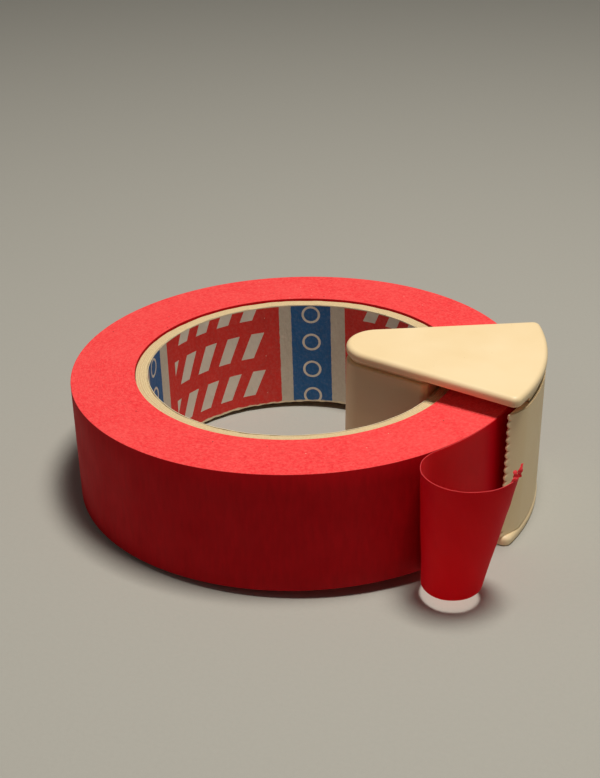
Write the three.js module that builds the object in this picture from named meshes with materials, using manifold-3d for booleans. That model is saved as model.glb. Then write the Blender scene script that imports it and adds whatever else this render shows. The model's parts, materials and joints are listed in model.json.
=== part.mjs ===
// Clip-on cutter for masking tape, with its roll.
//
// A pie-slice clip holds one stretch of a tape roll between a base plate and a lift-off lid.
// Its hollow post stands inside the roll's core and its curved wall stands outside the roll.
// The wall's front edge is serrated, and the tape is torn against it.
//
// Frame: millimetres, +Z up, standing on Z = 0, with the bounding box's bottom centre at the origin.
// +X runs along the clip's line of symmetry, from the roll's axis towards the cutter wall.

import * as THREE from 'three';
import Module from 'manifold-3d';
import { mergeVertices } from 'three/addons/utils/BufferGeometryUtils.js';

const wasm = await Module();
wasm.setup();

// ---- Driving dimensions ----------------------------------------------------------------------

// Roll: a 76 mm core wound with 30 mm masking tape.
const CORE_BORE_RADIUS = 38.0;
const LINER_THICKNESS = 0.3;
const CORE_WALL = 2.5;
const ROLL_RADIUS = 57.5;
const TAPE_WIDTH = 31.0;
const GLUE_GAP = 0.3; // between the roll's concentric layers
const RING_SEGMENTS = 120;

// Clip: the outline that the lid and the base plate share.
const CLIP_TIP_CENTRE = 20.7; // centre of the inner tip's arc, along X from the roll's axis
const CLIP_TIP_RADIUS = 8.6;
const CLIP_HALF_ANGLE = THREE.MathUtils.degToRad(20.4);
const CLIP_OUTER_RADIUS = 62.0;
const CLIP_CORNER_RADIUS = 2.0;
const BASE_THICKNESS = 2.5;
const LID_THICKNESS = 2.8;
const LID_UNDERSIDE = 38.0;
const LID_SHADOW_GAP = 1.8; // open joint between the lid and the rims below it
const EDGE_ROUNDING = 0.9;

// Post: a hollow wedge inside the core, flush with the lid at the tip and narrower along its sides.
const POST_TIP_CENTRE = 18.4;
const POST_TIP_RADIUS = 6.3;
const POST_FRONT_RADIUS = 36.5;
const POST_CORNER_RADIUS = 1.8;
const POST_WALL = 1.8;

// Cutter wall: a curved wall outside the roll, thinned to a serrated edge at its front.
const WALL_INNER_RADIUS = 59.7;
const WALL_OUTER_RADIUS = 61.8;
const WALL_FRONT_ANGLE = THREE.MathUtils.degToRad(-21.9);
const WALL_BEVEL_ANGLE = THREE.MathUtils.degToRad(-15.0);
const WALL_BACK_ANGLE = THREE.MathUtils.degToRad(20.6);
const CUTTING_EDGE_THICKNESS = 0.4;
const TOOTH_PITCH = 2.05;
const TOOTH_DEPTH = 0.9;
const FIRST_TOOTH = 1.2; // above the base plate

// Joints between the clip's mouldings.
const SPIGOT_CLEARANCE = 0.15;
const SPIGOT_WALL = 1.2;
const LID_SPIGOT_DEPTH = 5.0;
const BASE_SPIGOT_HEIGHT = 2.0;
const NECK_INSET = 1.2; // how far the lid's neck stands back from the post's face
const TONGUE_THICKNESS = 0.9;
const TONGUE_DEPTH = 2.5;
const TONGUE_HALF_ANGLE = THREE.MathUtils.degToRad(13.5);
const GROOVE_END_CLEARANCE = THREE.MathUtils.degToRad(0.5);
const BASE_TONGUE_DEPTH = 1.2;

// Free end of the tape: it leaves the roll on a tangent and curls into a cone.
const TAIL_THICKNESS = 0.4;
const TAIL_STANDOFF = 0.3;
const TAIL_ROOT_ANGLE = THREE.MathUtils.degToRad(-42.8);
const TAIL_LENGTH = 38.3;
const TAIL_TOP_RADII = [9.1, 13.9]; // bend radius of the upper edge, at the roll and at the end
const TAIL_BOTTOM_RADII = [9.0, 6.5];
const TAIL_STEPS = 36;
const TAIL_ROWS = 6;

// The roll lies with its far edge on the floor and its clipped edge on the base plate.
const PLATE_CONTACT_RADIUS = 35.1; // where the core's edge first meets the base plate
const REST_GAP = 0.3;
const ROLL_TILT = Math.asin((BASE_THICKNESS + REST_GAP) / (ROLL_RADIUS + PLATE_CONTACT_RADIUS));
const ROLL_LIFT = ROLL_RADIUS * Math.sin(ROLL_TILT);

const CURVE_SEGMENTS = 8;
const RIM_HEIGHT = LID_UNDERSIDE - LID_SHADOW_GAP;

// ---- Materials -------------------------------------------------------------------------------

const cream = () => new THREE.MeshStandardMaterial({ color: 0xe8cf9f, roughness: 0.55, metalness: 0 });
const redTape = () => new THREE.MeshStandardMaterial({ color: 0xc4141c, roughness: 0.75, metalness: 0 });
const board = () => new THREE.MeshStandardMaterial({ color: 0xc9b48c, roughness: 0.9, metalness: 0 });
const printedPaper = () => new THREE.MeshStandardMaterial({ color: 0xd8d2c4, roughness: 0.8, metalness: 0 });

// ---- Solids ----------------------------------------------------------------------------------

/** Turns a closed three.js geometry into a solid. */
function toSolid(geometry) {
  const bare = geometry.clone();
  bare.deleteAttribute('normal');
  bare.deleteAttribute('uv');
  const merged = mergeVertices(bare, 1e-4);
  return new wasm.Manifold(new wasm.Mesh({
    numProp: 3,
    vertProperties: new Float32Array(merged.attributes.position.array),
    triVerts: new Uint32Array(merged.index.array),
  }));
}

/** Turns a solid back into a three.js geometry. */
function toGeometry(solid) {
  const { vertProperties, triVerts } = solid.getMesh();
  const geometry = new THREE.BufferGeometry();
  geometry.setAttribute('position', new THREE.BufferAttribute(new Float32Array(vertProperties), 3));
  geometry.setIndex(new THREE.BufferAttribute(new Uint32Array(triVerts), 1));
  geometry.computeVertexNormals();
  return geometry;
}

/** Extrudes an outline straight up between two heights. */
function prism(shape, bottom, top) {
  const geometry = new THREE.ExtrudeGeometry(shape, {
    depth: top - bottom,
    bevelEnabled: false,
    curveSegments: CURVE_SEGMENTS,
  });
  return geometry.translate(0, 0, bottom);
}

/** Extrudes an outline between two heights with its edges rounded over. */
function roundedPlate(shape, bottom, thickness) {
  const geometry = new THREE.ExtrudeGeometry(shape, {
    depth: thickness - 2 * EDGE_ROUNDING,
    bevelEnabled: true,
    bevelThickness: EDGE_ROUNDING,
    bevelSize: EDGE_ROUNDING,
    bevelOffset: -EDGE_ROUNDING,
    bevelSegments: 3,
    curveSegments: CURVE_SEGMENTS,
  });
  return geometry.translate(0, 0, bottom + EDGE_ROUNDING);
}

/** Ring of rectangular section about Z, standing on Z = 0. */
function ring(innerRadius, outerRadius, height) {
  const section = [
    [innerRadius, 0],
    [outerRadius, 0],
    [outerRadius, height],
    [innerRadius, height],
    [innerRadius, 0],
  ].map(([radius, z]) => new THREE.Vector2(radius, z));
  return new THREE.LatheGeometry(section, RING_SEGMENTS).rotateX(Math.PI / 2);
}

// ---- Outlines --------------------------------------------------------------------------------

/**
 * Pie-slice outline: a round tip near the roll's axis, two straight sides and an arc about the axis,
 * with rounded outer corners. A positive inset moves the whole outline inwards.
 */
function pieSlice({ tipCentre, tipRadius, outerRadius, cornerRadius }, inset = 0) {
  const tip = tipRadius - inset;
  const outer = outerRadius - inset;
  const corner = Math.max(cornerRadius - inset, 0.3);
  const along = new THREE.Vector2(Math.cos(CLIP_HALF_ANGLE), Math.sin(CLIP_HALF_ANGLE));
  const across = new THREE.Vector2(-along.y, along.x);
  const start = new THREE.Vector2(tipCentre, 0).addScaledVector(across, tip - corner);
  const half = start.dot(along);
  const reach = outer - corner;
  const run = -half + Math.sqrt(half * half - start.lengthSq() + reach * reach);
  const centre = start.addScaledVector(along, run);
  const turn = Math.atan2(centre.y, centre.x);
  const side = CLIP_HALF_ANGLE + Math.PI / 2;
  const shape = new THREE.Shape();
  shape.absarc(tipCentre, 0, tip, side, 2 * Math.PI - side);
  shape.absarc(centre.x, -centre.y, corner, -side, -turn);
  shape.absarc(0, 0, outer, -turn, turn);
  shape.absarc(centre.x, centre.y, corner, turn, side);
  shape.closePath();
  return shape;
}

/** Band between two arcs about the roll's axis. */
function arcBand(innerRadius, outerRadius, halfAngle) {
  const shape = new THREE.Shape();
  shape.absarc(0, 0, outerRadius, -halfAngle, halfAngle);
  shape.absarc(0, 0, innerRadius, halfAngle, -halfAngle, true);
  shape.closePath();
  return shape;
}

/** Cutter wall in plan: a band whose front runs out in a straight bevel to a thin edge. */
function wallOutline() {
  const shape = new THREE.Shape();
  const edgeRadius = WALL_INNER_RADIUS + CUTTING_EDGE_THICKNESS;
  shape.moveTo(edgeRadius * Math.cos(WALL_FRONT_ANGLE), edgeRadius * Math.sin(WALL_FRONT_ANGLE));
  shape.absarc(0, 0, WALL_OUTER_RADIUS, WALL_BEVEL_ANGLE, WALL_BACK_ANGLE);
  shape.absarc(0, 0, WALL_INNER_RADIUS, WALL_BACK_ANGLE, WALL_FRONT_ANGLE, true);
  shape.closePath();
  return shape;
}

const clipOutline = {
  tipCentre: CLIP_TIP_CENTRE,
  tipRadius: CLIP_TIP_RADIUS,
  outerRadius: CLIP_OUTER_RADIUS,
  cornerRadius: CLIP_CORNER_RADIUS,
};
const postOutline = {
  tipCentre: POST_TIP_CENTRE,
  tipRadius: POST_TIP_RADIUS,
  outerRadius: POST_FRONT_RADIUS,
  cornerRadius: POST_CORNER_RADIUS,
};
const spigotInset = POST_WALL + SPIGOT_CLEARANCE;
const tongueMiddle = (WALL_INNER_RADIUS + WALL_OUTER_RADIUS) / 2;

/** Outline of a spigot that fits inside the hollow post. */
function spigotOutline() {
  const shape = pieSlice(postOutline, spigotInset);
  shape.holes.push(pieSlice(postOutline, spigotInset + SPIGOT_WALL));
  return shape;
}

/** Outline of the tongue on the wall's line, or of its groove when clearance is given. */
function tongueOutline(clearance, endClearance) {
  const reach = TONGUE_THICKNESS / 2 + clearance;
  return arcBand(tongueMiddle - reach, tongueMiddle + reach, TONGUE_HALF_ANGLE + endClearance);
}

const tongue = () => tongueOutline(0, 0);
const groove = () => tongueOutline(SPIGOT_CLEARANCE, GROOVE_END_CLEARANCE);

// ---- Clip ------------------------------------------------------------------------------------

/** Lid: plate, recessed neck and spigot over the post, and tongue over the wall. */
function lidGeometry() {
  const sink = LID_THICKNESS / 2;
  const neck = pieSlice(postOutline, NECK_INSET);
  neck.holes.push(pieSlice(postOutline, spigotInset + SPIGOT_WALL));
  return toGeometry(
    toSolid(roundedPlate(pieSlice(clipOutline), LID_UNDERSIDE, LID_THICKNESS))
      .add(toSolid(prism(neck, RIM_HEIGHT, LID_UNDERSIDE + sink)))
      .add(toSolid(prism(spigotOutline(), RIM_HEIGHT - LID_SPIGOT_DEPTH, LID_UNDERSIDE + sink)))
      .add(toSolid(prism(tongue(), RIM_HEIGHT - TONGUE_DEPTH, LID_UNDERSIDE + sink))),
  );
}

/** Base plate: plate with a low spigot for the post and a groove for the wall. */
function baseGeometry() {
  const sink = BASE_THICKNESS / 2;
  return toGeometry(
    toSolid(roundedPlate(pieSlice(clipOutline), 0, BASE_THICKNESS))
      .add(toSolid(prism(spigotOutline(), sink, BASE_THICKNESS + BASE_SPIGOT_HEIGHT)))
      .subtract(toSolid(prism(groove(), BASE_THICKNESS - BASE_TONGUE_DEPTH, BASE_THICKNESS + 1))),
  );
}

/** Post: a hollow wedge, open at both ends. */
function postGeometry() {
  const shape = pieSlice(postOutline);
  shape.holes.push(pieSlice(postOutline, POST_WALL));
  return prism(shape, BASE_THICKNESS, RIM_HEIGHT);
}

/** V-shaped notch through the wall's thin front edge, centred on a height. */
function notch(height) {
  const spill = 0.5; // how far the tool stands clear of the wall on every side
  const mouth = (TOOTH_PITCH / 2) * (1 + spill / TOOTH_DEPTH);
  const section = new THREE.Shape([
    new THREE.Vector2(-spill, -mouth),
    new THREE.Vector2(TOOTH_DEPTH, 0),
    new THREE.Vector2(-spill, mouth),
  ]);
  const depth = WALL_OUTER_RADIUS - WALL_INNER_RADIUS + 2 * spill;
  const geometry = new THREE.ExtrudeGeometry(section, { depth, bevelEnabled: false });
  // Section X becomes the direction along the wall (+Y here), section Y becomes Z, depth becomes X.
  geometry.applyMatrix4(new THREE.Matrix4().makeBasis(
    new THREE.Vector3(0, 1, 0),
    new THREE.Vector3(0, 0, 1),
    new THREE.Vector3(1, 0, 0),
  ));
  geometry.translate(WALL_INNER_RADIUS - spill, 0, height);
  return geometry.rotateZ(WALL_FRONT_ANGLE);
}

/** Cutter wall: curved, with a groove in its top for the lid's tongue and a tongue below. */
function wallGeometry() {
  const foot = BASE_THICKNESS - BASE_TONGUE_DEPTH + REST_GAP;
  let wall = toSolid(prism(wallOutline(), BASE_THICKNESS, RIM_HEIGHT))
    .add(toSolid(prism(tongue(), foot, BASE_THICKNESS + 1)))
    .subtract(toSolid(prism(groove(), RIM_HEIGHT - TONGUE_DEPTH - REST_GAP, RIM_HEIGHT + 1)));
  const lastTooth = RIM_HEIGHT - TOOTH_PITCH / 2;
  for (let z = BASE_THICKNESS + FIRST_TOOTH; z < lastTooth; z += TOOTH_PITCH) {
    wall = wall.subtract(toSolid(notch(z)));
  }
  return toGeometry(wall);
}

// ---- Free end of the tape --------------------------------------------------------------------

/** Points along one edge of the curl, in plan, with the outward normal at each. */
function curlEdge([rootRadius, endRadius]) {
  const radius = ROLL_RADIUS + TAIL_STANDOFF;
  const rootBend = 1 / rootRadius;
  const endBend = 1 / endRadius;
  const step = TAIL_LENGTH / TAIL_STEPS;
  const heading = (s) => TAIL_ROOT_ANGLE - Math.PI / 2 + rootBend * s
    + ((endBend - rootBend) * s * s) / (2 * TAIL_LENGTH);
  let x = radius * Math.cos(TAIL_ROOT_ANGLE);
  let y = radius * Math.sin(TAIL_ROOT_ANGLE);
  const stations = [];
  for (let i = 0; i <= TAIL_STEPS; i += 1) {
    const turn = heading(i * step);
    stations.push({ x, y, nx: -Math.sin(turn), ny: Math.cos(turn) });
    x += step * Math.cos(heading((i + 0.5) * step));
    y += step * Math.sin(heading((i + 0.5) * step));
  }
  return stations;
}

/** Curled strip of even thickness between its two edges. */
function tailGeometry() {
  const upper = curlEdge(TAIL_TOP_RADII);
  const lower = curlEdge(TAIL_BOTTOM_RADII);
  const positions = [];
  const index = [];
  // One closed loop of points round the strip at each station: down its inner face, up its outer one.
  upper.forEach((top, i) => {
    const bottom = lower[i];
    const lean = Math.hypot(top.x - bottom.x, top.y - bottom.y);
    const sag = (TAPE_WIDTH - Math.sqrt(TAPE_WIDTH * TAPE_WIDTH - lean * lean)) / 2;
    for (const [offset, first, step] of [[TAIL_THICKNESS, 0, 1], [0, TAIL_ROWS, -1]]) {
      for (let row = 0; row <= TAIL_ROWS; row += 1) {
        const t = (first + step * row) / TAIL_ROWS;
        const blend = (key) => THREE.MathUtils.lerp(top[key], bottom[key], t);
        positions.push(
          blend('x') + blend('nx') * offset,
          blend('y') + blend('ny') * offset,
          THREE.MathUtils.lerp(TAPE_WIDTH - sag, sag, t),
        );
      }
    }
  });
  const loop = 2 * (TAIL_ROWS + 1);
  for (let i = 0; i < TAIL_STEPS; i += 1) {
    for (let j = 0; j < loop; j += 1) {
      const here = i * loop + j;
      const side = i * loop + ((j + 1) % loop);
      index.push(here, here + loop, side + loop, here, side + loop, side);
    }
  }
  const last = TAIL_STEPS * loop;
  for (let row = 0; row < TAIL_ROWS; row += 1) {
    const [a, b, c, d] = [row, row + 1, loop - 2 - row, loop - 1 - row];
    index.push(a, b, c, a, c, d);
    index.push(last + a, last + c, last + b, last + a, last + d, last + c);
  }
  const geometry = new THREE.BufferGeometry();
  geometry.setAttribute('position', new THREE.Float32BufferAttribute(positions, 3));
  geometry.setIndex(index);
  geometry.computeVertexNormals();
  return geometry;
}

// ---- Assembly --------------------------------------------------------------------------------

function part(name, geometry, material) {
  const mesh = new THREE.Mesh(geometry, material);
  mesh.name = name;
  return mesh;
}

const clip = new THREE.Group();
clip.add(part('base_plate', baseGeometry(), cream()));
clip.add(part('inner_post', postGeometry(), cream()));
clip.add(part('cutter_wall', wallGeometry(), cream()));
clip.add(part('lid_plate', lidGeometry(), cream()));

const linerOuter = CORE_BORE_RADIUS + LINER_THICKNESS;
const coreInner = linerOuter + GLUE_GAP;
const coreOuter = coreInner + CORE_WALL;
const roll = new THREE.Group();
roll.add(part('core_liner', ring(CORE_BORE_RADIUS, linerOuter, TAPE_WIDTH), printedPaper()));
roll.add(part('core_tube', ring(coreInner, coreOuter, TAPE_WIDTH), board()));
roll.add(part('tape_winding', ring(coreOuter + GLUE_GAP, ROLL_RADIUS, TAPE_WIDTH), redTape()));
roll.add(part('tape_tail', tailGeometry(), redTape()));
roll.rotation.y = -ROLL_TILT;
roll.position.z = ROLL_LIFT;

const dispenser = new THREE.Group();
dispenser.add(clip, roll);

const box = new THREE.Box3().setFromObject(dispenser, true);
const centre = box.getCenter(new THREE.Vector3());
dispenser.position.set(-centre.x, -centre.y, -box.min.z);

export default dispenser;
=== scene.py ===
"""Clip-on cutter for masking tape, with its roll: the finished look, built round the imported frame.

Everything is in metres, +Z up, in the frame's own axes. The clip's mouldings stand about the roll's
upright axis. The roll leans a little, because its clipped edge rests on the base plate, so its pieces are
made upright about the world's Z and then laid into the roll's place.
"""

from __future__ import annotations

import json
import logging
import math
from dataclasses import dataclass, field
from enum import Enum
from typing import Callable, Iterable

import bmesh
import bpy
import numpy as np
from mathutils import Matrix, Vector

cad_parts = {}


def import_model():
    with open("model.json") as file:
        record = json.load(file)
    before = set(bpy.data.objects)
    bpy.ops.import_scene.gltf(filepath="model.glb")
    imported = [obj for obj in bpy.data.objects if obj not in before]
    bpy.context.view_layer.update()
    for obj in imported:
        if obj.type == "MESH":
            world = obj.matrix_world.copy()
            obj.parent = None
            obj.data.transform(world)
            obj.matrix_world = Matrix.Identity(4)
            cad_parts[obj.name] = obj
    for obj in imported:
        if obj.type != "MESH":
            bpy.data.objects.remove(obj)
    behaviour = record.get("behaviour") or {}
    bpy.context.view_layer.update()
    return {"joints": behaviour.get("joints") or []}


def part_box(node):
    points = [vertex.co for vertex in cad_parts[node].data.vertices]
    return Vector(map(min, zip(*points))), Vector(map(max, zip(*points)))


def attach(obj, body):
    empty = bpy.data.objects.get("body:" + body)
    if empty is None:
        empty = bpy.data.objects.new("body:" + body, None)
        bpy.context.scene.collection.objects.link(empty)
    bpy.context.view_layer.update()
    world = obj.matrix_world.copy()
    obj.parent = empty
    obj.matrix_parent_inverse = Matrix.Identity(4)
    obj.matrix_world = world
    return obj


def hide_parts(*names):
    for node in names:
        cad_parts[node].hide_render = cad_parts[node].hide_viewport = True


LOG = logging.getLogger("tape_clip")
MM = 0.001
WELD = 1e-6
UP = Vector((0.0, 0.0, 1.0))
SEED = 7


class Body(Enum):
    """Moving bodies of the frame."""

    CLIP = "clip"
    LID = "lid"
    ROLL = "roll"
    TAIL = "tail"


class Slot(Enum):
    """Finishes named in the record."""

    CREAM = "cream_plastic"
    RED = "red_tape"
    BOARD = "core_board"
    PRINT = "printed_liner"


# ---- Modelling by hand -----------------------------------------------------------------------------


def begin(name: str) -> bpy.types.Object:
    """Starts an empty mesh piece at the origin and enters edit mode.

    Args:
        name: The piece's name.

    Returns:
        The new object, open for drawing.
    """
    bpy.ops.object.select_all(action="DESELECT")
    bpy.ops.mesh.primitive_plane_add(size=MM)
    piece = bpy.context.object
    piece.name = name
    piece.data.name = name
    bpy.ops.object.mode_set(mode="EDIT")
    bpy.ops.mesh.select_all(action="SELECT")
    bpy.ops.mesh.delete(type="VERT")
    return piece


def end(piece: bpy.types.Object, smooth_angle: float = math.radians(32)) -> bpy.types.Object:
    """Leaves edit mode with the normals outward and the rounded faces smooth.

    Args:
        piece: The object being edited.
        smooth_angle: Edges flatter than this are shaded smooth.

    Returns:
        The same object.
    """
    bpy.ops.mesh.select_all(action="SELECT")
    bpy.ops.mesh.remove_doubles(threshold=WELD)
    bpy.ops.mesh.normals_make_consistent(inside=False)
    bpy.ops.object.mode_set(mode="OBJECT")
    smooth(piece, smooth_angle)
    return piece


def only(piece: bpy.types.Object) -> None:
    """Selects one object and makes it active."""
    bpy.ops.object.select_all(action="DESELECT")
    piece.select_set(True)
    bpy.context.view_layer.objects.active = piece


def smooth(piece: bpy.types.Object, angle: float) -> None:
    """Shades a piece smooth wherever its faces meet at less than an angle."""
    only(piece)
    bpy.ops.object.shade_smooth_by_angle(angle=angle)


class Pen:
    """Draws a line of points in edit mode with extruded runs and spun arcs."""

    def __init__(self, start: Vector) -> None:
        """Sets down the first point at a place."""
        bpy.ops.mesh.select_all(action="DESELECT")
        bpy.ops.mesh.primitive_plane_add(size=MM, location=start)
        bpy.ops.mesh.merge(type="CENTER")
        self.at = start.copy()

    def run(self, target: Vector, steps: int = 1) -> None:
        """Draws a straight run.

        Args:
            target: Where the run ends.
            steps: How many equal edges it has.
        """
        stride = (target - self.at) / steps
        for _ in range(steps):
            bpy.ops.mesh.extrude_region_move(TRANSFORM_OT_translate={"value": stride})
        self.at = target.copy()

    def sweep(self, centre: Vector, angle: float, steps: int, axis: Vector = UP) -> None:
        """Draws an arc.

        Args:
            centre: A point on the arc's axis.
            angle: How far to turn, anticlockwise about the axis.
            steps: How many edges it has.
            axis: The arc's axis.
        """
        bpy.ops.mesh.spin(steps=steps, angle=-angle, center=centre, axis=axis)
        self.at = centre + Matrix.Rotation(angle, 3, axis) @ (self.at - centre)


def fill_outline() -> None:
    """Welds the outline being drawn and fills it with one face."""
    bpy.ops.mesh.select_all(action="SELECT")
    bpy.ops.mesh.remove_doubles(threshold=WELD)
    bpy.ops.mesh.edge_face_add()


def bridge_outlines() -> None:
    """Welds the two outlines being drawn and joins them with a strip of faces."""
    bpy.ops.mesh.select_all(action="SELECT")
    bpy.ops.mesh.remove_doubles(threshold=WELD)
    bpy.ops.mesh.bridge_edge_loops()


def raise_by(height: float) -> None:
    """Extrudes everything drawn so far straight up."""
    bpy.ops.mesh.select_all(action="SELECT")
    bpy.ops.mesh.extrude_region_move(TRANSFORM_OT_translate={"value": (0.0, 0.0, height)})


def round_rim(piece: bpy.types.Object, height: float, radius: float, segments: int) -> None:
    """Rounds every edge that lies level at one height.

    Args:
        piece: The object being edited.
        height: The rim's Z.
        radius: How wide the rounding is.
        segments: How many faces it has.
    """
    bpy.ops.mesh.select_mode(type="EDGE")
    bpy.ops.mesh.select_all(action="DESELECT")
    mesh = bmesh.from_edit_mesh(piece.data)
    for edge in mesh.edges:
        edge.select_set(all(abs(vert.co.z - height) < WELD for vert in edge.verts))
    bmesh.update_edit_mesh(piece.data)
    bpy.ops.mesh.bevel(offset=radius, segments=segments, affect="EDGES")
    bpy.ops.mesh.select_mode(type="VERT")


def combine(piece: bpy.types.Object, tool: bpy.types.Object, operation: str) -> None:
    """Joins a tool to a piece, or cuts it away, and removes the tool.

    Args:
        piece: The solid that is kept.
        tool: The solid that is used up.
        operation: UNION or DIFFERENCE.
    """
    only(piece)
    bpy.ops.object.modifier_add(type="BOOLEAN")
    modifier = piece.modifiers[-1]
    modifier.operation = operation
    modifier.solver = "EXACT"
    modifier.object = tool
    bpy.ops.object.modifier_apply(modifier=modifier.name)
    bpy.data.objects.remove(tool)


def place_points(piece: bpy.types.Object, rule: Callable[[np.ndarray], np.ndarray]) -> None:
    """Moves a piece's points by a rule.

    Args:
        piece: The object to shape.
        rule: Takes the points as an N by 3 array and gives the new ones.
    """
    points = np.empty(len(piece.data.vertices) * 3)
    piece.data.vertices.foreach_get("co", points)
    piece.data.vertices.foreach_set("co", rule(points.reshape(-1, 3)).ravel())
    piece.data.update()


def lay_in_place(piece: bpy.types.Object, place: Matrix) -> None:
    """Turns and moves a piece's mesh, and leaves its object at the origin."""
    piece.matrix_world = place
    only(piece)
    bpy.ops.object.transform_apply(location=True, rotation=True, scale=True)


def ripple(angle: np.ndarray, orders: Iterable[int], seed: int) -> np.ndarray:
    """Gives an uneven wave round a circle, between about -1 and 1.

    Args:
        angle: Angles in radians.
        orders: How many waves each part of it makes round the circle.
        seed: Sets the parts' phases and sizes.

    Returns:
        One height for each angle.
    """
    chance = np.random.default_rng(seed)
    total = np.zeros_like(angle)
    weight = 0.0
    for order in orders:
        size = chance.uniform(0.5, 1.0)
        total += size * np.sin(order * angle + chance.uniform(0, math.tau))
        weight += size
    return total / math.sqrt(weight)


# ---- Finishes --------------------------------------------------------------------------------------


def tone(red: int, green: int, blue: int) -> tuple[float, float, float, float]:
    """Gives a screen colour, 0 to 255 a channel, as the linear colour that shaders use."""
    linear = []
    for value in (red, green, blue):
        share = value / 255
        linear.append(share / 12.92 if share <= 0.04045 else ((share + 0.055) / 1.055) ** 2.4)
    return (linear[0], linear[1], linear[2], 1.0)


Socket = bpy.types.NodeSocket
Colour = tuple[float, float, float, float]
DepthRule = Callable[[np.ndarray, np.ndarray], np.ndarray]


class Nodes:
    """Adds and wires the shader nodes of one material."""

    def __init__(self, name: str, roughness: float) -> None:
        """Makes a material whose shader has one roughness unless something is wired to it."""
        self.material = bpy.data.materials.new(name)
        self.material.use_nodes = True
        self.tree = self.material.node_tree
        self.shader = self.tree.nodes["Principled BSDF"]
        self.shader.inputs["Roughness"].default_value = roughness

    def add(self, kind: str) -> bpy.types.Node:
        """Adds a node of a kind."""
        return self.tree.nodes.new(kind)

    def wire(self, value: Socket | float | Colour | Vector, target: Socket) -> None:
        """Links a socket to a target, or sets the target to a plain value."""
        if isinstance(value, bpy.types.NodeSocket):
            self.tree.links.new(value, target)
        else:
            target.default_value = value

    def math(self, operation: str, *values: Socket | float) -> Socket:
        """Works out a sum from one to three values.

        Args:
            operation: The Math node's operation.
            *values: Its inputs in order.

        Returns:
            The result.
        """
        node = self.add("ShaderNodeMath")
        node.operation = operation
        for value, target in zip(values, node.inputs):
            self.wire(value, target)
        return node.outputs[0]

    def within(self, value: Socket, low: float, high: float) -> Socket:
        """Gives 1 where a value lies between two others, and 0 elsewhere."""
        above = self.math("GREATER_THAN", value, low)
        return self.math("MULTIPLY", above, self.math("LESS_THAN", value, high))

    def mix(self, share: Socket | float, first: Socket | Colour, second: Socket | Colour) -> Socket:
        """Mixes two colours.

        Args:
            share: 0 for the first and 1 for the second.
            first: A colour.
            second: Another colour.

        Returns:
            The mixed colour.
        """
        node = self.add("ShaderNodeMix")
        node.data_type = "RGBA"
        self.wire(share, node.inputs[0])
        self.wire(first, node.inputs[6])
        self.wire(second, node.inputs[7])
        return node.outputs[2]

    def span(self, value: Socket, low: float, high: float, to_low: float, to_high: float) -> Socket:
        """Maps a value from one range to another, held at the ends."""
        node = self.add("ShaderNodeMapRange")
        for target, number in zip(node.inputs, (value, low, high, to_low, to_high)):
            self.wire(number, target)
        return node.outputs[0]

    def place(self, turn: Matrix | None = None, stretch: tuple[float, float, float] = (1, 1, 1)) -> Socket:
        """Gives the object's own coordinates.

        Args:
            turn: Maps the frame's coordinates to the piece's own, where they differ.
            stretch: Scales each axis afterwards.

        Returns:
            The coordinates.
        """
        coordinates = self.add("ShaderNodeTexCoord").outputs["Object"]
        if turn is not None:
            coordinates = self.mapped(coordinates, turn.to_translation(), turn.to_euler(), (1, 1, 1))
        return self.mapped(coordinates, Vector(), Vector(), stretch)

    def mapped(
        self, source: Socket, move: Vector, turn: Vector, stretch: tuple[float, float, float]
    ) -> Socket:
        """Scales, turns and then moves coordinates."""
        node = self.add("ShaderNodeMapping")
        self.wire(source, node.inputs["Vector"])
        for key, value in (("Location", move), ("Rotation", turn), ("Scale", stretch)):
            node.inputs[key].default_value = tuple(value)
        return node.outputs[0]

    def noise(self, source: Socket, scale: float, detail: float = 3.0, rough: float = 0.55) -> Socket:
        """Gives a cloudy pattern with about `scale` blots to the metre."""
        node = self.add("ShaderNodeTexNoise")
        self.wire(source, node.inputs["Vector"])
        for key, value in (("Scale", scale), ("Detail", detail), ("Roughness", rough)):
            node.inputs[key].default_value = value
        return node.outputs["Fac"]

    def grains(self, source: Socket, scale: float) -> Socket:
        """Gives the distance to the nearest of many scattered points."""
        node = self.add("ShaderNodeTexVoronoi")
        self.wire(source, node.inputs["Vector"])
        node.inputs["Scale"].default_value = scale
        return node.outputs["Distance"]

    def join(self, *parts: Socket | float) -> Socket:
        """Makes a vector from its three parts."""
        node = self.add("ShaderNodeCombineXYZ")
        for part, target in zip(parts, node.inputs):
            self.wire(part, target)
        return node.outputs[0]

    def split(self, source: Socket) -> tuple[Socket, Socket, Socket]:
        """Gives a vector's three parts."""
        node = self.add("ShaderNodeSeparateXYZ")
        self.wire(source, node.inputs[0])
        return node.outputs[0], node.outputs[1], node.outputs[2]

    def round_the_roll(self, turn: Matrix) -> tuple[Socket, Socket, Socket]:
        """Gives the place on the roll as radius and height in metres, and angle from 0 to 360 degrees.

        Args:
            turn: Maps the frame's coordinates to the upright roll's.

        Returns:
            Radius, angle and height.
        """
        x, y, z = self.split(self.place(turn))
        square = self.math("ADD", self.math("MULTIPLY", x, x), self.math("MULTIPLY", y, y))
        radius = self.math("SQRT", square)
        degrees = self.math("MULTIPLY", self.math("ARCTAN2", y, x), 180 / math.pi)
        return radius, self.math("FLOORED_MODULO", degrees, 360.0), z

    def relief(self, height: Socket, depth: float, below: Socket | None = None) -> Socket:
        """Turns a height pattern into a bump.

        Args:
            height: The pattern, 0 to 1.
            depth: How far 1 stands above 0, in metres.
            below: Another bump that this one lies on.

        Returns:
            The bumped normal.
        """
        node = self.add("ShaderNodeBump")
        node.inputs["Distance"].default_value = depth
        self.wire(height, node.inputs["Height"])
        if below is not None:
            self.wire(below, node.inputs["Normal"])
        return node.outputs[0]

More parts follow.
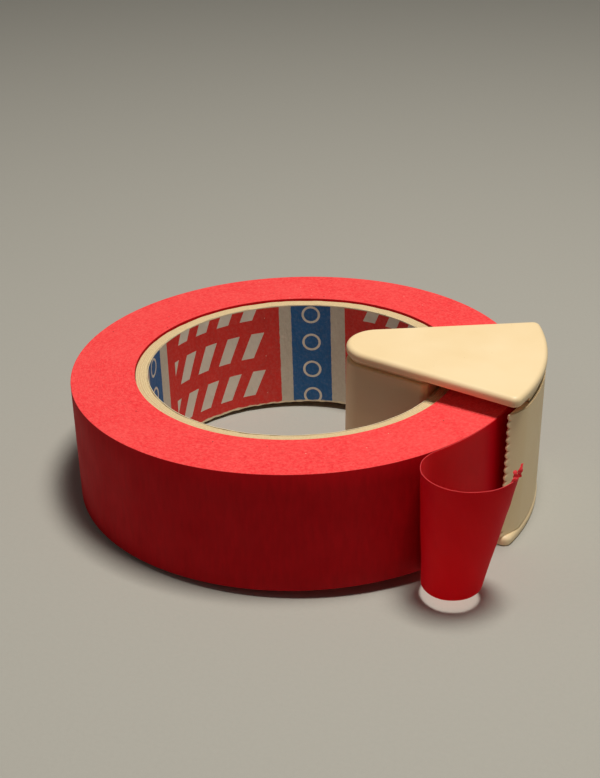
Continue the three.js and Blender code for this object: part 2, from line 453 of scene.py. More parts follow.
    def finish(self, colour: Socket, normal: Socket, roughness: Socket | None = None) -> bpy.types.Material:
        """Wires the results to the shader.

        Args:
            colour: The surface's colour.
            normal: The bumped normal.
            roughness: A roughness pattern, if it varies.

        Returns:
            The finished material.
        """
        self.wire(colour, self.shader.inputs["Base Color"])
        self.wire(normal, self.shader.inputs["Normal"])
        if roughness is not None:
            self.wire(roughness, self.shader.inputs["Roughness"])
        return self.material


@dataclass(frozen=True)
class MouldedPlastic:
    """Matt cream plastic from a spark-eroded mould, with faint flow clouds, specks and rub marks."""

    body: Colour = tone(244, 221, 178)
    cloud: Colour = tone(240, 214, 167)
    speck: Colour = tone(196, 164, 116)
    cloud_scale: float = 55.0
    speck_scale: float = 420.0
    speck_size: float = 0.055
    speck_gate: float = 0.56
    speck_strength: float = 0.45
    rub_stretch: tuple[float, float, float] = (1.0, 7.0, 2.5)
    rub_scale: float = 210.0
    wave_scale: float = 120.0
    wave_depth: float = 0.03 * MM
    grain_scale: float = 5200.0
    grain_depth: float = 0.018 * MM
    roughness: tuple[float, float] = (0.42, 0.56)

    def make(self, name: str) -> bpy.types.Material:
        """Makes the material under a name."""
        nodes = Nodes(name, self.roughness[0])
        here = nodes.place()
        clouds = nodes.span(nodes.noise(here, self.cloud_scale, 2.0), 0.35, 0.7, 0.0, 1.0)
        colour = nodes.mix(clouds, self.body, self.cloud)
        dust = nodes.math("LESS_THAN", nodes.grains(here, self.speck_scale), self.speck_size)
        gate = nodes.math("GREATER_THAN", nodes.noise(here, 130.0, 1.0), self.speck_gate)
        specks = nodes.math("MULTIPLY", nodes.math("MULTIPLY", dust, gate), self.speck_strength)
        colour = nodes.mix(specks, colour, self.speck)
        rubbed = nodes.noise(nodes.place(None, self.rub_stretch), self.rub_scale, 4.0, 0.7)
        grain = nodes.relief(nodes.noise(here, self.grain_scale, 2.0), self.grain_depth)
        waves = nodes.relief(nodes.noise(here, self.wave_scale, 1.0), self.wave_depth, grain)
        return nodes.finish(colour, waves, nodes.span(rubbed, 0.3, 0.7, *self.roughness))


@dataclass(frozen=True)
class TapeBack:
    """Outside of the tape: finely creped red paper, drawn tight and slightly polished by the winding."""

    body: Colour = tone(200, 2, 18)
    shade: Colour = tone(182, 1, 14)
    blot: Colour = tone(160, 1, 12)
    blot_scale: float = 90.0
    radius: float = 57.5 * MM
    gloss: float = 0.12
    crepe_scale: float = 900.0
    crepe_depth: float = 0.035 * MM
    roughness: tuple[float, float] = (0.6, 0.72)

    def make(self, name: str, turn: Matrix) -> bpy.types.Material:
        """Makes the material.

        Args:
            name: Its name.
            turn: Maps the frame's coordinates to the upright roll's.

        Returns:
            The material.
        """
        nodes = Nodes(name, self.roughness[0])
        radius, angle, height = nodes.round_the_roll(turn)
        along = nodes.math("MULTIPLY", angle, math.tau * self.radius / 360)
        flat = nodes.join(along, nodes.math("MULTIPLY", height, 0.22), radius)
        crepe = nodes.noise(flat, self.crepe_scale, 4.0, 0.6)
        blots = nodes.noise(nodes.place(turn), self.blot_scale, 3.0)
        colour = nodes.mix(nodes.span(crepe, 0.3, 0.72, 0.0, 1.0), self.shade, self.body)
        colour = nodes.mix(nodes.span(blots, 0.4, 0.75, 0.0, 0.25), colour, self.blot)
        nodes.shader.inputs["Specular IOR Level"].default_value = self.gloss
        bump = nodes.relief(crepe, self.crepe_depth)
        return nodes.finish(colour, bump, nodes.span(blots, 0.3, 0.7, *self.roughness))


@dataclass(frozen=True)
class TapeEdges:
    """Flat face of the winding: the cut edges of the turns, with fibres, pale flecks and dark pits."""

    body: Colour = tone(238, 46, 54)
    pale: Colour = tone(250, 92, 90)
    dark: Colour = tone(186, 14, 26)
    fleck: Colour = tone(255, 190, 170)
    pit: Colour = tone(110, 8, 18)
    fleck_size: float = 0.05
    fleck_gate: float = 0.57
    pit_size: float = 0.06
    pit_gate: float = 0.40
    sheen: float = 0.15
    sheen_roughness: float = 0.6
    sheen_tint: Colour = tone(255, 150, 140)
    gloss: float = 0.15
    turn_pitch: float = 0.13 * MM
    roughness: float = 0.82

    def make(self, name: str, turn: Matrix) -> bpy.types.Material:
        """Makes the material.

        Args:
            name: Its name.
            turn: Maps the frame's coordinates to the upright roll's.

        Returns:
            The material.
        """
        nodes = Nodes(name, self.roughness)
        radius, angle, _ = nodes.round_the_roll(turn)
        wound = nodes.join(nodes.math("MULTIPLY", angle, 0.00012), radius, 0.0)
        turns = nodes.noise(wound, 1 / (2.2 * self.turn_pitch), 2.0, 0.6)
        here = nodes.place(turn)
        fibres = nodes.noise(here, 1500.0, 5.0, 0.68)
        colour = nodes.mix(nodes.span(fibres, 0.33, 0.68, 0.0, 1.0), self.body, self.pale)
        colour = nodes.mix(nodes.span(turns, 0.52, 0.8, 0.0, 0.55), colour, self.dark)
        blots = nodes.noise(here, 75.0, 2.0)
        colour = nodes.mix(nodes.span(blots, 0.45, 0.8, 0.0, 0.35), colour, self.pale)
        seeds = nodes.grains(here, 330.0)
        chance = nodes.noise(here, 260.0, 0.0)
        near = nodes.math("LESS_THAN", seeds, self.fleck_size)
        flecks = nodes.math("MULTIPLY", near, nodes.math("GREATER_THAN", chance, self.fleck_gate))
        colour = nodes.mix(nodes.math("MULTIPLY", flecks, 0.7), colour, self.fleck)
        near = nodes.math("LESS_THAN", seeds, self.pit_size)
        pits = nodes.math("MULTIPLY", near, nodes.math("LESS_THAN", chance, self.pit_gate))
        colour = nodes.mix(nodes.math("MULTIPLY", pits, 0.75), colour, self.pit)
        bump = nodes.relief(fibres, 0.09 * MM, nodes.relief(turns, 0.07 * MM))
        nodes.shader.inputs["Specular IOR Level"].default_value = self.gloss
        nodes.shader.inputs["Sheen Weight"].default_value = self.sheen
        nodes.shader.inputs["Sheen Roughness"].default_value = self.sheen_roughness
        nodes.shader.inputs["Sheen Tint"].default_value = self.sheen_tint
        return nodes.finish(colour, bump)


@dataclass(frozen=True)
class WoundBoard:
    """Spiral-wound pale brown board of the core, seen as plies on its cut rim."""

    body: Colour = tone(226, 204, 160)
    ply: Colour = tone(178, 148, 104)
    plies: int = 6
    wall: float = 3.1 * MM
    roughness: float = 0.92

    def make(self, name: str, turn: Matrix) -> bpy.types.Material:
        """Makes the material.

        Args:
            name: Its name.
            turn: Maps the frame's coordinates to the upright roll's.

        Returns:
            The material.
        """
        nodes = Nodes(name, self.roughness)
        radius, _, _ = nodes.round_the_roll(turn)
        here = nodes.place(turn)
        stray = nodes.math("MULTIPLY", nodes.noise(here, 160.0, 3.0), 0.5 * MM)
        depth = nodes.math("DIVIDE", nodes.math("ADD", radius, stray), self.wall / self.plies)
        stripe = nodes.math("ABSOLUTE", nodes.math("SUBTRACT", nodes.math("FRACT", depth), 0.5))
        fibres = nodes.noise(here, 2100.0, 5.0, 0.7)
        colour = nodes.mix(nodes.span(stripe, 0.36, 0.5, 0.0, 0.75), self.body, self.ply)
        colour = nodes.mix(nodes.span(fibres, 0.35, 0.7, 0.0, 0.45), colour, self.ply)
        bump = nodes.relief(fibres, 0.12 * MM, nodes.relief(stripe, 0.1 * MM))
        return nodes.finish(colour, bump)


@dataclass(frozen=True)
class PrintedLiner:
    """Paper that lines the core, printed with red and blue panels of plain dashes and rings."""

    paper: Colour = tone(206, 198, 180)
    red: Colour = tone(214, 40, 30)
    blue: Colour = tone(24, 92, 150)
    ink_white: Colour = tone(222, 214, 198)
    pulp: Colour = tone(228, 212, 176)
    fibre: Colour = tone(176, 166, 146)
    period: float = 86.0
    first_gap: float = 83.9
    blue_panel: tuple[float, float] = (6.2, 22.9)
    red_panel: tuple[float, float] = (28.0, 86.0)
    row_pitch: float = 11.6 * MM
    dash_pitch: float = 7.2 * MM
    ring_pitch: float = 8.4 * MM
    lowest_row: float = 2.2 * MM
    dash_slant: float = 0.45
    dash_height: tuple[float, float] = (1.6 * MM, 9.0 * MM)
    dash_width: tuple[float, float] = (1.2 * MM, 4.9 * MM)
    dash_span: tuple[float, float] = (4.0 * MM, 35.0 * MM)
    ring_shift: float = 2.0 * MM
    ring_band: tuple[float, float] = (1.95 * MM, 2.6 * MM)
    crease_depth: float = 0.55 * MM
    bore: float = 38.0 * MM
    cut_edge: float = 30.1 * MM
    roughness: float = 0.7

    def dashes(self, nodes: Nodes, along: Socket, height: Socket) -> Socket:
        """Gives 1 on rows of slanted dashes across the red panel.

        Args:
            nodes: The material's nodes.
            along: Distance along the paper from the panel's start, in metres.
            height: Height on the paper, in metres.

        Returns:
            The mask.
        """
        above = nodes.math("SUBTRACT", height, self.lowest_row)
        row = nodes.math("FLOORED_MODULO", above, self.row_pitch)
        leaning = nodes.math("ADD", along, nodes.math("MULTIPLY", row, self.dash_slant))
        cell = nodes.math("FLOORED_MODULO", leaning, self.dash_pitch)
        tall = nodes.within(row, *self.dash_height)
        mask = nodes.math("MULTIPLY", tall, nodes.within(cell, *self.dash_width))
        mask = nodes.math("MULTIPLY", mask, nodes.math("GREATER_THAN", above, 0.0))
        return nodes.math("MULTIPLY", mask, nodes.within(along, *self.dash_span))

    def rings(self, nodes: Nodes, along: Socket, height: Socket) -> Socket:
        """Gives 1 on a column of plain rings down the blue panel.

        Args:
            nodes: The material's nodes.
            along: Distance along the paper from the panel's start, in metres.
            height: Height on the paper, in metres.

        Returns:
            The mask.
        """
        cell = nodes.math("FLOORED_MODULO", nodes.math("ADD", height, self.ring_shift), self.ring_pitch)
        up = nodes.math("SUBTRACT", cell, self.ring_pitch / 2)
        middle = math.radians(self.blue_panel[1] - self.blue_panel[0]) * self.bore / 2
        across = nodes.math("SUBTRACT", along, middle)
        square = nodes.math("ADD", nodes.math("MULTIPLY", up, up), nodes.math("MULTIPLY", across, across))
        away = nodes.math("SQRT", square)
        return nodes.within(away, *self.ring_band)

    def make(self, name: str, turn: Matrix) -> bpy.types.Material:
        """Makes the material.

        Args:
            name: Its name.
            turn: Maps the frame's coordinates to the upright roll's.

        Returns:
            The material.
        """
        nodes = Nodes(name, self.roughness)
        _, angle, height = nodes.round_the_roll(turn)
        here = nodes.place(turn)
        stray = nodes.math("MULTIPLY", nodes.math("SUBTRACT", nodes.noise(here, 700.0, 2.0), 0.5), 0.5)
        phase = nodes.math("FLOORED_MODULO", nodes.math("SUBTRACT", angle, self.first_gap), self.period)
        edge = nodes.math("ADD", phase, stray)
        metres = math.radians(1.0) * self.bore
        in_blue = nodes.within(edge, *self.blue_panel)
        in_red = nodes.within(edge, *self.red_panel)
        blue_along = nodes.math("MULTIPLY", nodes.math("SUBTRACT", phase, self.blue_panel[0]), metres)
        red_along = nodes.math("MULTIPLY", nodes.math("SUBTRACT", phase, self.red_panel[0]), metres)
        fibres = nodes.noise(here, 1300.0, 5.0, 0.65)
        creases = nodes.noise(nodes.place(turn, (1.0, 1.0, 0.35)), 170.0, 5.0, 0.6)
        paper = nodes.mix(nodes.span(fibres, 0.35, 0.7, 0.0, 0.4), self.paper, self.fibre)
        red = nodes.mix(self.dashes(nodes, red_along, height), self.red, self.ink_white)
        blue = nodes.mix(self.rings(nodes, blue_along, height), self.blue, self.ink_white)
        colour = nodes.mix(in_red, nodes.mix(in_blue, paper, blue), red)
        colour = nodes.mix(nodes.span(fibres, 0.45, 0.85, 0.0, 0.14), colour, paper)
        foot = nodes.math("ADD", height, nodes.math("MULTIPLY", nodes.noise(here, 500.0, 3.0), -1.2 * MM))
        colour = nodes.mix(nodes.span(foot, -0.1 * MM, 0.25 * MM, 1.0, 0.0), colour, self.pulp)
        colour = nodes.mix(nodes.math("GREATER_THAN", height, self.cut_edge), colour, self.pulp)
        bump = nodes.relief(fibres, 0.05 * MM, nodes.relief(creases, self.crease_depth))
        return nodes.finish(colour, bump, nodes.span(creases, 0.3, 0.7, 0.6, 0.8))


@dataclass(frozen=True)
class TapeFilm:
    """Free end of the tape: creped paper, deep red outside, with pale edges; its gummed side is painted
    brighter, painted light for the lit outer face of the curl.
    """

    back: Colour = tone(190, 5, 26)
    # Painted light: the gummed side's red is brighter than the back's, standing in for the light on the
    # curl's outer face.
    gum_painted_lit: Colour = tone(252, 2, 24)
    fibre: Colour = tone(228, 84, 88)
    gloss: float = 0.12
    glow: float = 1.0
    glow_spread: tuple[float, float, float] = (1.0, 0.2, 0.2)
    glow_depth: float = 0.9 * MM

    def side(self, name: str, colour: Colour, roughness: float) -> bpy.types.Material:
        """Makes one face's material, which follows the strip by its own UV map.

        Args:
            name: The material's name.
            colour: The face's colour.
            roughness: How matt it is.

        Returns:
            The material.
        """
        nodes = Nodes(name, roughness)
        strip = nodes.add("ShaderNodeTexCoord").outputs["UV"]
        crepe = nodes.noise(nodes.mapped(strip, Vector(), Vector(), (1.0, 0.2, 1.0)), 850.0, 4.0, 0.6)
        clouds = nodes.noise(strip, 120.0, 3.0)
        dark = (colour[0] * 0.9, colour[1] * 0.7, colour[2] * 0.75, 1.0)
        mixed = nodes.mix(nodes.span(crepe, 0.3, 0.7, 0.0, 0.6), dark, colour)
        mixed = nodes.mix(nodes.span(clouds, 0.45, 0.8, 0.0, 0.3), mixed, dark)
        nodes.shader.inputs["Specular IOR Level"].default_value = self.gloss
        nodes.shader.inputs["Subsurface Weight"].default_value = self.glow
        nodes.shader.inputs["Subsurface Radius"].default_value = self.glow_spread
        nodes.shader.inputs["Subsurface Scale"].default_value = self.glow_depth
        matt = nodes.span(clouds, 0.3, 0.7, roughness - 0.08, roughness)
        return nodes.finish(mixed, nodes.relief(crepe, 0.03 * MM), matt)

    def edge(self, name: str) -> bpy.types.Material:
        """Makes the pale fibrous material of the strip's cut and torn edges."""
        nodes = Nodes(name, 0.85)
        fibres = nodes.noise(nodes.place(), 3000.0, 3.0)
        return nodes.finish(nodes.mix(fibres, self.back, self.fibre), nodes.relief(fibres, 0.04 * MM))


def dress(piece: bpy.types.Object, finish: bpy.types.Material) -> None:
    """Gives a piece one material."""
    piece.data.materials.clear()
    piece.data.materials.append(finish)


def stand_in(piece: bpy.types.Object, body: Body, node: str) -> None:
    """Lets a piece ride on a body in place of a plain node, and reports it."""
    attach(piece, body.value)
    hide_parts(node)
    faces = len(piece.data.polygons)
    LOG.info("%s: %d faces, rides on %s, stands for %s", piece.name, faces, body.value, node)


# ---- Clip ------------------------------------------------------------------------------------------


@dataclass(frozen=True)
class PieSlice:
    """Plan outline of the clip's mouldings: a round tip, two straight sides and an arc about the axis."""

    tip_centre: float
    tip_radius: float
    outer_radius: float
    corner_radius: float
    half_angle: float = math.radians(20.4)
    tip_steps: int = 40
    corner_steps: int = 12
    arc_steps: int = 56
    least_corner: float = 0.3 * MM

    def draw(self, axis: Vector, height: float, inset: float = 0.0) -> None:
        """Draws the outline as a closed line of points.

        Args:
            axis: Where the roll's axis meets the floor.
            height: The outline's Z.
            inset: How far the whole outline is moved inwards.
        """
        tip = self.tip_radius - inset
        outer = self.outer_radius - inset
        corner = max(self.corner_radius - inset, self.least_corner)
        along = Vector((math.cos(self.half_angle), math.sin(self.half_angle)))
        across = Vector((-along.y, along.x))
        start = Vector((self.tip_centre, 0.0)) + across * (tip - corner)
        half = start.dot(along)
        centre = start + along * (math.sqrt(half**2 - start.length_squared + (outer - corner) ** 2) - half)
        turn = math.atan2(centre.y, centre.x)
        side = self.half_angle + math.pi / 2
        middle = Vector((axis.x, axis.y, height))
        tip_middle = middle + Vector((self.tip_centre, 0.0, 0.0))
        near = middle + Vector((centre.x, -centre.y, 0.0))
        far = middle + Vector((centre.x, centre.y, 0.0))
        first = tip_middle + Vector((math.cos(side), math.sin(side), 0.0)) * tip
        pen = Pen(first)
        pen.sweep(tip_middle, math.tau - 2 * side, self.tip_steps)
        pen.run(near + Vector((math.cos(side), -math.sin(side), 0.0)) * corner)
        pen.sweep(near, side - turn, self.corner_steps)
        pen.sweep(middle, 2 * turn, self.arc_steps)
        pen.sweep(far, side - turn, self.corner_steps)
        pen.run(first)


@dataclass(frozen=True)
class Joints:
    """Sizes of the hidden spigots and tongues that hold the clip's mouldings together."""

    clearance: float = 0.15 * MM
    spigot_wall: float = 1.2 * MM
    spigot_depth: float = 5.0 * MM
    base_spigot: float = 2.0 * MM
    neck_inset: float = 1.2 * MM
    tongue_thickness: float = 0.9 * MM
    tongue_depth: float = 2.5 * MM
    tongue_half_angle: float = math.radians(13.5)
    groove_room: float = math.radians(0.5)


@dataclass(frozen=True)
class Cutter:
    """Sizes of the curved wall outside the roll and of its serrated front edge."""

    inner_radius: float = 59.7 * MM
    outer_radius: float = 61.8 * MM
    front: float = math.radians(-21.9)
    bevel: float = math.radians(-15.0)
    back: float = math.radians(20.6)
    edge_thickness: float = 0.4 * MM
    bevel_curve: float = 1.5
    tooth_pitch: float = 2.05 * MM
    tooth_depth: float = 0.75 * MM
    first_notch: float = 1.2 * MM
    tooth_reach: float = 1.5 * MM
    groove_depth: float = 0.16 * MM
    groove_length: float = 0.8 * MM
    groove_width: float = 0.24 * MM
    rim_drop: float = 0.3 * MM
    rows: int = 176
    columns: int = 6
    plain_steps: int = 60
    bevel_steps: int = 34

    def shaped(self, points: np.ndarray, axis: Vector, foot: float, rim: float) -> np.ndarray:
        """Thins the wall to its cutting edge and shapes the teeth, their grooves and the crowned rim.

        Args:
            points: The plain wall's points.
            axis: Where the roll's axis meets the floor.
            foot: The wall's lowest Z.
            rim: The wall's highest Z.

        Returns:
            The shaped points.
        """
        x, y, z = (points - np.array((axis.x, axis.y, 0.0))).T
        radius = np.hypot(x, y)
        angle = np.arctan2(y, x)
        share = (radius - self.inner_radius) / (self.outer_radius - self.inner_radius)
        thinned = np.clip((self.bevel - angle) / (self.bevel - self.front), 0.0, 1.0)
        thickness = self.outer_radius - self.inner_radius
        thickness = thickness + (self.edge_thickness - thickness) * thinned**self.bevel_curve
        in_front = (angle - self.front) * self.inner_radius
        phase = (z - foot - self.first_notch) / self.tooth_pitch
        notch = 1.0 - np.abs(np.sin(math.pi * phase))
        ends = np.clip(np.minimum(z - foot, rim - z) / (0.4 * self.tooth_pitch), 0.0, 1.0)
        reach = np.clip(1.0 - in_front / self.tooth_reach, 0.0, 1.0) ** 2
        angle = angle + notch * ends * reach * self.tooth_depth / self.inner_radius
        off_line = (phase - np.round(phase)) * self.tooth_pitch
        away = (off_line / self.groove_width) ** 2 + (in_front / self.groove_length) ** 2
        groove = np.exp(-away) * ends
        radius = self.inner_radius + share * (thickness - groove * self.groove_depth)
        crown = np.where(z > rim - WELD, self.rim_drop * np.abs(2 * share - 1) ** 4, 0.0)
        plan = (axis.x + radius * np.cos(angle), axis.y + radius * np.sin(angle))
        return np.stack((*plan, z - crown), axis=1)


@dataclass
class Clip:
    """The cream clip: base plate, hollow post, cutter wall and lift-off lid."""

    outline: PieSlice = PieSlice(20.7 * MM, 8.6 * MM, 62.0 * MM, 2.0 * MM)
    post_outline: PieSlice = PieSlice(18.4 * MM, 6.3 * MM, 36.5 * MM, 1.8 * MM)
    post_wall: float = 1.8 * MM
    post_rounding: float = 0.5 * MM
    shadow_gap: float = 1.8 * MM
    lid_top_rounding: float = 1.25 * MM
    lid_foot_rounding: float = 0.85 * MM
    plate_top_rounding: float = 1.2 * MM
    plate_foot_rounding: float = 0.6 * MM
    rounding_steps: int = 7
    face_margin: float = 0.25 * MM
    joints: Joints = field(default_factory=Joints)
    cutter: Cutter = field(default_factory=Cutter)
    plastic: MouldedPlastic = field(default_factory=MouldedPlastic)

    def __post_init__(self) -> None:
        """Reads the heights and the axis from the frame."""
        lid_low, lid_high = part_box("lid_plate")
        self.lid_top = lid_high[2]
        self.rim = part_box("inner_post")[1][2]
        self.lid_foot = self.rim + self.shadow_gap
        self.plate_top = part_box("inner_post")[0][2]
        self.axis = Vector((lid_high[0] - self.outline.outer_radius, (lid_low[1] + lid_high[1]) / 2, 0.0))

    def plate(
        self, name: str, foot: float, top: float, foot_round: float, top_round: float
    ) -> bpy.types.Object:
        """Makes a flat plate of the clip's outline with rounded rims.

        Args:
            name: The piece's name.
            foot: Its underside's Z.
            top: Its top's Z.
            foot_round: The lower rim's rounding.
            top_round: The upper rim's rounding.

        Returns:
            The plate.
        """
        piece = begin(name)
        self.outline.draw(self.axis, foot)
        fill_outline()
        raise_by(top - foot)
        round_rim(piece, top, top_round, self.rounding_steps)
        round_rim(piece, foot, foot_round, self.rounding_steps)
        self.margin_faces(piece)
        return end(piece)

    def margin_faces(self, piece: bpy.types.Object) -> None:
        """Insets a plate's two large faces a little, so that they shade flat up to the rounding."""
        bpy.ops.mesh.select_mode(type="FACE")
        bpy.ops.mesh.select_all(action="DESELECT")
        mesh = bmesh.from_edit_mesh(piece.data)
        mesh.normal_update()
        for face in mesh.faces:
            face.select_set(len(face.verts) > 2 * self.outline.tip_steps)
        bmesh.update_edit_mesh(piece.data)
        bpy.ops.mesh.inset(thickness=self.face_margin, use_individual=True)
        bpy.ops.mesh.select_mode(type="VERT")

    def collar(self, name: str, outer: float, inner: float, foot: float, top: float) -> bpy.types.Object:
        """Makes a ring that follows the post's outline.

        Args:
            name: The piece's name.
            outer: The outer face's inset from the post's outline.
            inner: The inner face's inset.
            foot: Its lowest Z.
            top: Its highest Z.

        Returns:
            The ring.
        """
        piece = begin(name)
        self.post_outline.draw(self.axis, foot, outer)
        self.post_outline.draw(self.axis, foot, inner)
        bridge_outlines()
        raise_by(top - foot)
        return end(piece)

    def band(self, name: str, spare: float, end_spare: float, foot: float, top: float) -> bpy.types.Object:
        """Makes the arc of a tongue on the wall's line, or the shape that cuts its groove.

        Args:
            name: The piece's name.
            spare: Clearance added to each side.
            end_spare: Clearance added to each end, as an angle.
            foot: Its lowest Z.
            top: Its highest Z.

        Returns:
            The band.
        """
        middle = (self.cutter.inner_radius + self.cutter.outer_radius) / 2
        half = self.joints.tongue_thickness / 2 + spare
        reach = self.joints.tongue_half_angle + end_spare
        centre = Vector((self.axis.x, self.axis.y, foot))
        ray = Vector((math.cos(reach), -math.sin(reach), 0.0))
        far_ray = Vector((ray.x, -ray.y, 0.0))
        piece = begin(name)
        pen = Pen(centre + ray * (middle + half))
        pen.sweep(centre, 2 * reach, self.outline.arc_steps)
        pen.run(centre + far_ray * (middle - half))
        pen.sweep(centre, -2 * reach, self.outline.arc_steps)
        pen.run(centre + ray * (middle + half))
        fill_outline()
        raise_by(top - foot)
        return end(piece)

    def make_lid(self) -> bpy.types.Object:
        """Makes the lid: its plate, the recessed neck and spigot over the post, and the wall's tongue."""
        joints = self.joints
        lid = self.plate("lid", self.lid_foot, self.lid_top, self.lid_foot_rounding, self.lid_top_rounding)
        outer = self.post_wall + joints.clearance
        inner = outer + joints.spigot_wall
        inside = (self.lid_foot + self.lid_top) / 2
        neck_foot = self.rim + joints.clearance
        combine(lid, self.collar("neck", joints.neck_inset, inner, neck_foot, inside), "UNION")
        combine(lid, self.collar("spigot", outer, inner, self.rim - joints.spigot_depth, inside), "UNION")
        combine(lid, self.band("tongue", 0.0, 0.0, self.rim - joints.tongue_depth, inside), "UNION")
        smooth(lid, math.radians(32))
        return lid

    def make_base(self) -> bpy.types.Object:
        """Makes the base plate with the low spigot that the post stands over."""
        joints = self.joints
        base = self.plate("base", 0.0, self.plate_top, self.plate_foot_rounding, self.plate_top_rounding)
        outer = self.post_wall + joints.clearance
        top = self.plate_top + joints.base_spigot
        spigot = self.collar("base_spigot", outer, outer + joints.spigot_wall, self.plate_top / 2, top)
        combine(base, spigot, "UNION")
        smooth(base, math.radians(32))
        return base

    def make_post(self) -> bpy.types.Object:
        """Makes the hollow post with softened rims."""
        post = begin("post")
        self.post_outline.draw(self.axis, self.plate_top)
        self.post_outline.draw(self.axis, self.plate_top, self.post_wall)
        bridge_outlines()
        raise_by(self.rim - self.plate_top)
        self.round_rims(post)
        return end(post)

    def round_rims(self, post: bpy.types.Object) -> None:
        """Rounds the post's upper rim along its two outlines, and not across it."""
        bpy.ops.mesh.select_mode(type="EDGE")
        bpy.ops.mesh.select_all(action="DESELECT")
        mesh = bmesh.from_edit_mesh(post.data)
        mesh.normal_update()
        for edge in mesh.edges:
            level = all(abs(vert.co.z - self.rim) < WELD for vert in edge.verts)
            edge.select_set(level and edge.calc_face_angle(0.0) > math.radians(60))
        bmesh.update_edit_mesh(post.data)
        bpy.ops.mesh.bevel(offset=self.post_rounding, segments=self.rounding_steps, affect="EDGES")
        bpy.ops.mesh.select_mode(type="VERT")

    def make_wall(self) -> bpy.types.Object:
        """Spins the cutter wall, shapes its edge and cuts the groove for the lid's tongue."""
        cutter = self.cutter
        middle = (cutter.inner_radius + cutter.outer_radius) / 2
        centre = self.axis + Vector((math.cos(cutter.back), math.sin(cutter.back), 0.0)) * middle
        centre.z = (self.plate_top + self.rim) / 2
        bpy.ops.object.select_all(action="DESELECT")
        bpy.ops.mesh.primitive_grid_add(
            x_subdivisions=cutter.columns,
            y_subdivisions=cutter.rows,
            size=1.0,
            location=centre,
            rotation=(math.pi / 2, 0.0, cutter.back),
        )
        wall = bpy.context.object
        wall.name = "serrated_wall"
        wall.scale = (cutter.outer_radius - cutter.inner_radius, self.rim - self.plate_top, 1.0)
        bpy.ops.object.transform_apply(location=True, rotation=True, scale=True)
        bpy.ops.object.mode_set(mode="EDIT")
        bpy.ops.mesh.select_all(action="SELECT")
        for steps, turn in (
            (cutter.plain_steps, cutter.back - cutter.bevel),
            (cutter.bevel_steps, cutter.bevel - cutter.front),
        ):
            bpy.ops.mesh.spin(steps=steps, angle=turn, center=self.axis, axis=UP)
        end(wall, math.radians(40))
        place_points(wall, lambda points: cutter.shaped(points, self.axis, self.plate_top, self.rim))
        joints = self.joints
        depth = self.rim - joints.tongue_depth - 2 * joints.clearance
        groove = self.band("groove", joints.clearance, joints.groove_room, depth, self.rim + MM)
        combine(wall, groove, "DIFFERENCE")
        smooth(wall, math.radians(40))
        return wall

    def build(self) -> None:
        """Makes and dresses the four mouldings."""
        plastic = self.plastic.make("cream_moulding")
        for piece, body, node in (
            (self.make_base(), Body.CLIP, "base_plate"),
            (self.make_post(), Body.CLIP, "inner_post"),
            (self.make_wall(), Body.CLIP, "cutter_wall"),
            (self.make_lid(), Body.LID, "lid_plate"),
        ):
            dress(piece, plastic)
            stand_in(piece, body, node)


# ---- Roll ------------------------------------------------------------------------------------------


def roll_place(joints: list[dict]) -> Matrix:
    """Finds where the upright roll's origin and axis lie in the frame.

    Args:
        joints: The frame's joints.

    Returns:
        The matrix from the upright roll to the frame.
    """
    spin = next(joint for joint in joints if joint["name"] == "roll_spin")
    lean = UP.rotation_difference(Vector(spin["axis"])).to_matrix().to_4x4()
    return Matrix.Translation(Vector(spin["pos_m"])) @ lean


@dataclass(frozen=True)
class Ring:
    """Section of a round piece: a rectangle with divided faces, spun about Z."""

    bore: float
    radius: float
    foot: float
    top: float
    rounding: float
    face_steps: int
    side_steps: int
    turns: int
    rounding_steps: int = 3

    def spin(self, name: str) -> bpy.types.Object:
        """Draws the section in the XZ plane and spins it full circle.

        Args:
            name: The piece's name.

        Returns:
            The closed ring.
        """
        curve = self.rounding
        across = Vector((0.0, 1.0, 0.0))
        outer = self.radius - curve
        piece = begin(name)
        pen = Pen(Vector((self.bore, 0.0, self.foot)))
        pen.run(Vector((outer, 0.0, self.foot)), self.face_steps)
        pen.sweep(Vector((outer, 0.0, self.foot + curve)), -math.pi / 2, self.rounding_steps, across)
        pen.run(Vector((self.radius, 0.0, self.top - curve)), self.side_steps)
        pen.sweep(Vector((outer, 0.0, self.top - curve)), -math.pi / 2, self.rounding_steps, across)
        pen.run(Vector((self.bore, 0.0, self.top)), self.face_steps)
        pen.run(Vector((self.bore, 0.0, self.foot)), self.side_steps)
        bpy.ops.mesh.select_all(action="SELECT")
        bpy.ops.mesh.spin(steps=self.turns, angle=math.tau, center=(0.0, 0.0, 0.0), axis=UP)
        return end(piece, math.radians(50))


